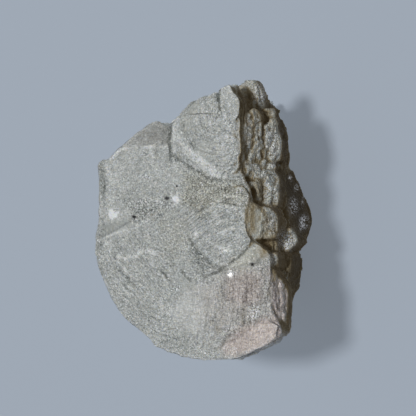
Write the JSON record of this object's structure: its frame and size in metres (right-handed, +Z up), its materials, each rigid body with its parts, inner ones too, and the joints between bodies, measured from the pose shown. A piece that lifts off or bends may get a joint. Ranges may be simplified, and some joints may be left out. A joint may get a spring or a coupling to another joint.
{
  "type": "tunellite crystal",
  "caption": "Loose hand specimen of tunellite: a book of rounded, milky crystal tablets grown together, lying on its flat back.",
  "frame": {"origin": "centre of the footprint, at the level of the flat back face that the specimen lies on", "axes": "+Z up, square to the cleavage; +Y to the pointed end; +X to the side where the tablets' edges stand out"},
  "size_m": [0.031, 0.0402, 0.0216],
  "materials": {
    "crystal": "satin to pearly, milky and slightly translucent, with a brown clay film between the tablets"
  },
  "bodies": {
    "root": {"tunellite_crystal": "crystal"}
  },
  "joints": []
}
